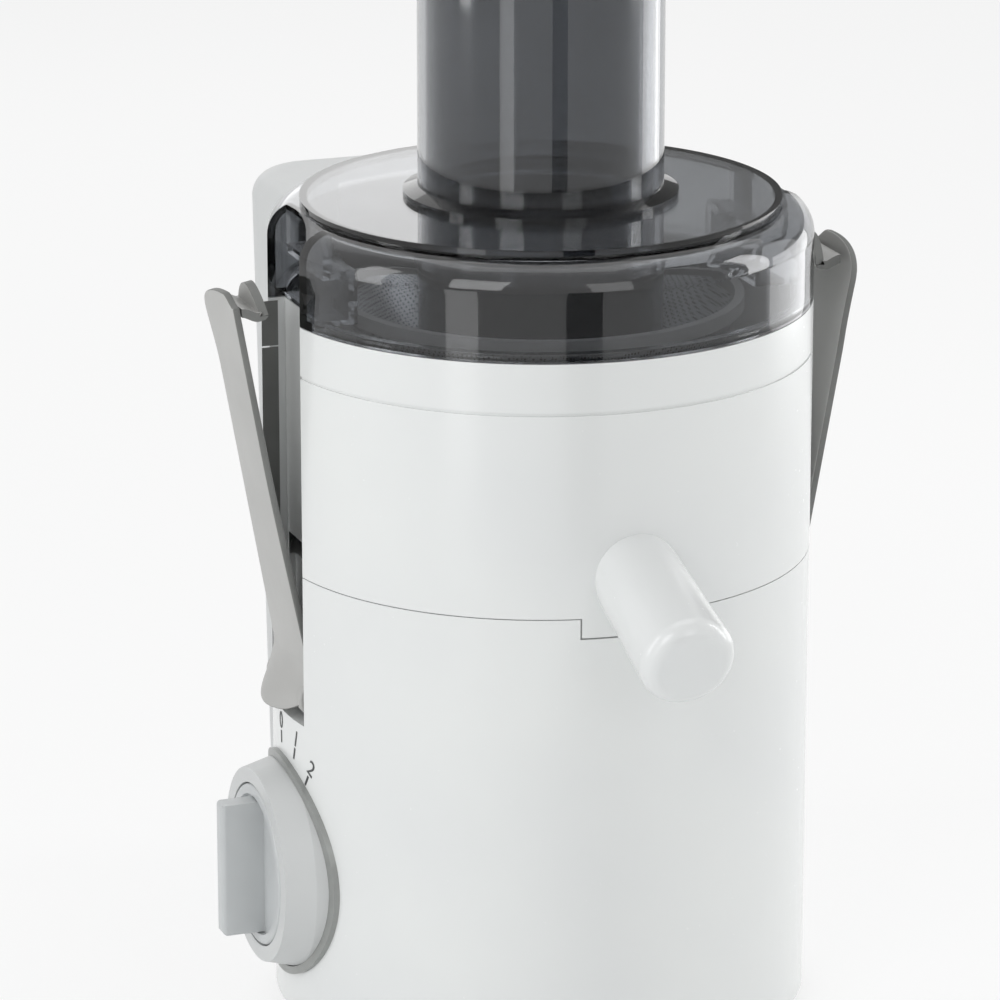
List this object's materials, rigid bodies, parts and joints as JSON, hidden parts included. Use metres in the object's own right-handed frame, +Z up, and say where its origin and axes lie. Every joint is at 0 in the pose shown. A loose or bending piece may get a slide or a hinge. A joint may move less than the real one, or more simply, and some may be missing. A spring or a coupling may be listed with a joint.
{
  "type": "centrifugal juicer",
  "caption": "Compact centrifugal juicer with round motor base, speed dial, juice collector with spout, smoke lid and feed tube, side clamps and rear pulp container.",
  "frame": {"origin": "on the table below the rotor axis, at the middle of the footprint", "axes": "+Z up along the rotor, -Y towards the spout, -X towards the speed dial"},
  "size_m": [0.1977, 0.2495, 0.3298],
  "materials": {
    "white_plastic": "gloss",
    "smoke_plastic": "clear gloss",
    "grey_plastic": "satin",
    "trim_grey": "satin",
    "black_rubber": "matte",
    "dark_plastic": "matte",
    "steel": "bright",
    "aluminium": "cast",
    "iron": "laminated",
    "copper": "enamelled wire",
    "bronze": "sintered",
    "carbon": "matte"
  },
  "bodies": {
    "base": {"motor_housing": "white_plastic", "base_plate": "grey_plastic", "base_plate_screws": "steel", "rubber_feet": "black_rubber", "cord_gland": "black_rubber", "dial_trim_ring": "trim_grey", "dial_bezel": "white_plastic", "rotary_switch": "dark_plastic", "upper_motor_frame": "aluminium", "lower_motor_frame": "aluminium", "stator_core": "iron", "field_coils": "copper", "brush_holders": "bronze", "carbon_brushes": "carbon", "upper_bearing": "bronze", "lower_bearing": "bronze", "shaft_seal": "black_rubber", "motor_through_bolts": "steel", "isolation_bushes": "black_rubber", "motor_mount_screws": "steel", "left_clamp_pin": "steel", "right_clamp_pin": "steel"},
    "rotor": {"motor_shaft": "steel", "armature_core": "iron", "armature_winding": "copper", "commutator": "copper", "cooling_fan": "dark_plastic", "drive_coupling": "dark_plastic"},
    "dial": {"speed_dial": "white_plastic", "switch_shaft": "dark_plastic"},
    "left_clamp": {"left_clamp": "grey_plastic"},
    "right_clamp": {"right_clamp": "grey_plastic"},
    "collector": {"juice_collector": "white_plastic", "spout": "white_plastic"},
    "sieve": {"sieve_hub": "grey_plastic", "grater_disc": "steel", "sieve_mesh": "steel", "sieve_rim": "grey_plastic"},
    "lid": {"lid": "smoke_plastic", "lid_disc": "smoke_plastic", "feed_tube": "smoke_plastic", "tube_collar": "smoke_plastic"},
    "pusher": {"pusher": "smoke_plastic"},
    "container": {"pulp_container": "white_plastic"}
  },
  "joints": [
    {"name": "left_clamp_swing", "type": "hinge", "parent": "base", "child": "left_clamp", "pos_m": [-0.0735, 0.0036, 0.104], "axis": [0, -1, 0], "range_deg": [-10.2, 0]},
    {"name": "right_clamp_swing", "type": "hinge", "parent": "base", "child": "right_clamp", "pos_m": [0.0735, 0.0036, 0.104], "axis": [0, 1, 0], "range_deg": [-10.2, 0]},
    {"name": "speed_dial_turn", "type": "hinge", "parent": "base", "child": "dial", "pos_m": [-0.08, 0.0031, 0.0489], "axis": [1, 0, 0], "range_deg": [0, 32]},
    {"name": "rotor_spin", "type": "hinge", "parent": "base", "child": "rotor", "pos_m": [0, 0, 0.08], "axis": [0, 0, 1], "continuous": true},
    {"name": "pulp_container_slide", "type": "slide", "parent": "base", "child": "container", "axis": [0, 1, 0], "range_m": [0, 0.06]},
    {"name": "collector_lift", "type": "slide", "parent": "base", "child": "collector", "axis": [0, 0, 1], "range_m": [0, 0.06]},
    {"name": "sieve_spin", "type": "hinge", "parent": "collector", "child": "sieve", "pos_m": [0, 0, 0.19], "axis": [0, 0, 1], "continuous": true},
    {"name": "lid_lift", "type": "slide", "parent": "collector", "child": "lid", "axis": [0, 0, 1], "range_m": [0, 0.09]},
    {"name": "pusher_slide", "type": "slide", "parent": "lid", "child": "pusher", "axis": [0, 0, 1], "range_m": [0, 0.15]}
  ],
  "couplings": [
    {"joint": "sieve_spin", "follows": "rotor_spin", "ratio": 1}
  ]
}
